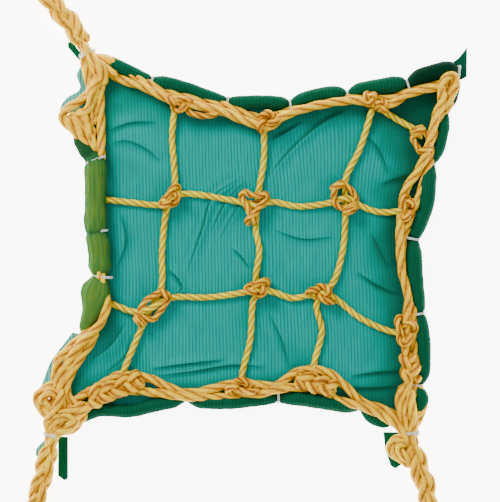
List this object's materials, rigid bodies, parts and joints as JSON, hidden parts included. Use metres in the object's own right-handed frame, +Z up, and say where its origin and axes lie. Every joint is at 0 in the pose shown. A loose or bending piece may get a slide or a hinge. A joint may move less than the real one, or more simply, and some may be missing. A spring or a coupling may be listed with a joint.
{
  "type": "cargo climbing net",
  "caption": "Knotted rope net panel over a knitted shade cloth with rolled, lashed hems and corner tie ropes that end in eyes.",
  "frame": {"origin": "on the floor under the middle of the net, on the underside of the cloth", "axes": "+Z up, from the cloth side to the rope side; +Y to the top edge and +X to the right edge, seen from the rope side"},
  "size_m": [0.5775, 0.8172, 0.028],
  "materials": {
    "shade_cloth": "knitted polyethylene shade cloth, fine upright ribs",
    "rolled_cloth": "the same cloth rolled several layers thick",
    "sheer_cloth": "a single open layer of the same cloth",
    "mesh_rope": "three-strand laid polypropylene, semi-matt",
    "border_rope": "three-strand laid polypropylene, satin",
    "twine": "twisted synthetic twine, matt"
  },
  "bodies": {
    "net": {"shade_cloth": "shade_cloth", "hem_top": "rolled_cloth", "hem_right": "rolled_cloth", "hem_bottom": "rolled_cloth", "hem_left": "rolled_cloth", "flap_top_left": "sheer_cloth", "flap_bottom_left": "sheer_cloth", "tab_bottom_left": "sheer_cloth", "strap_bottom_left": "rolled_cloth", "tail_top_left": "rolled_cloth", "flap_bottom_right": "rolled_cloth", "tip_top_right": "rolled_cloth", "border_rope_top_outer": "border_rope", "border_rope_top_inner": "border_rope", "border_rope_right_outer": "border_rope", "border_rope_right_inner": "border_rope", "border_rope_bottom_outer": "border_rope", "border_rope_bottom_inner": "border_rope", "border_rope_left_outer": "border_rope", "border_rope_left_inner": "border_rope", "mesh_rope_v1": "mesh_rope", "mesh_rope_v2": "mesh_rope", "mesh_rope_v3": "mesh_rope", "mesh_rope_h1": "mesh_rope", "mesh_rope_h2": "mesh_rope", "brace_rope": "mesh_rope", "knot_v1_h1": "border_rope", "knot_v2_h1": "border_rope", "knot_v3_h1": "border_rope", "knot_v1_h2": "border_rope", "knot_v2_h2": "border_rope", "knot_v3_h2": "border_rope", "knot_top_v1": "border_rope", "knot_top_v2": "border_rope", "knot_top_v3": "border_rope", "knot_right_brace": "border_rope", "knot_right_h1": "border_rope", "knot_right_h2": "border_rope", "knot_right_low": "border_rope", "knot_bottom_v1": "border_rope", "knot_bottom_v2": "border_rope", "knot_bottom_v3": "border_rope", "knot_left_h1": "border_rope", "knot_left_h2": "border_rope", "corner_loop_top_right": "border_rope", "corner_lashing_top_left": "border_rope", "corner_lashing_bottom_left": "border_rope", "corner_lashing_bottom_right": "border_rope", "twine_top": "twine", "twine_right": "twine", "twine_bottom": "twine", "twine_left": "twine"},
    "tie_top_left": {"tie_rope_top_left": "border_rope", "tie_eye_top_left": "border_rope"},
    "tie_bottom_left": {"tie_rope_bottom_left": "border_rope", "tie_eye_bottom_left": "border_rope"},
    "tie_bottom_right": {"tie_rope_bottom_right": "border_rope", "tie_eye_bottom_right": "border_rope"}
  },
  "joints": [
    {"name": "swing_top_left", "type": "hinge", "parent": "net", "child": "tie_top_left", "pos_m": [-0.188, 0.214, 0.013], "axis": [0, 0, 1], "range_deg": [-20, 20]},
    {"name": "swing_bottom_left", "type": "hinge", "parent": "net", "child": "tie_bottom_left", "pos_m": [-0.23, -0.2, 0.013], "axis": [0, 0, 1], "range_deg": [-20, 20]},
    {"name": "swing_bottom_right", "type": "hinge", "parent": "net", "child": "tie_bottom_right", "pos_m": [0.162, -0.2, 0.013], "axis": [0, 0, 1], "range_deg": [-20, 20]}
  ]
}
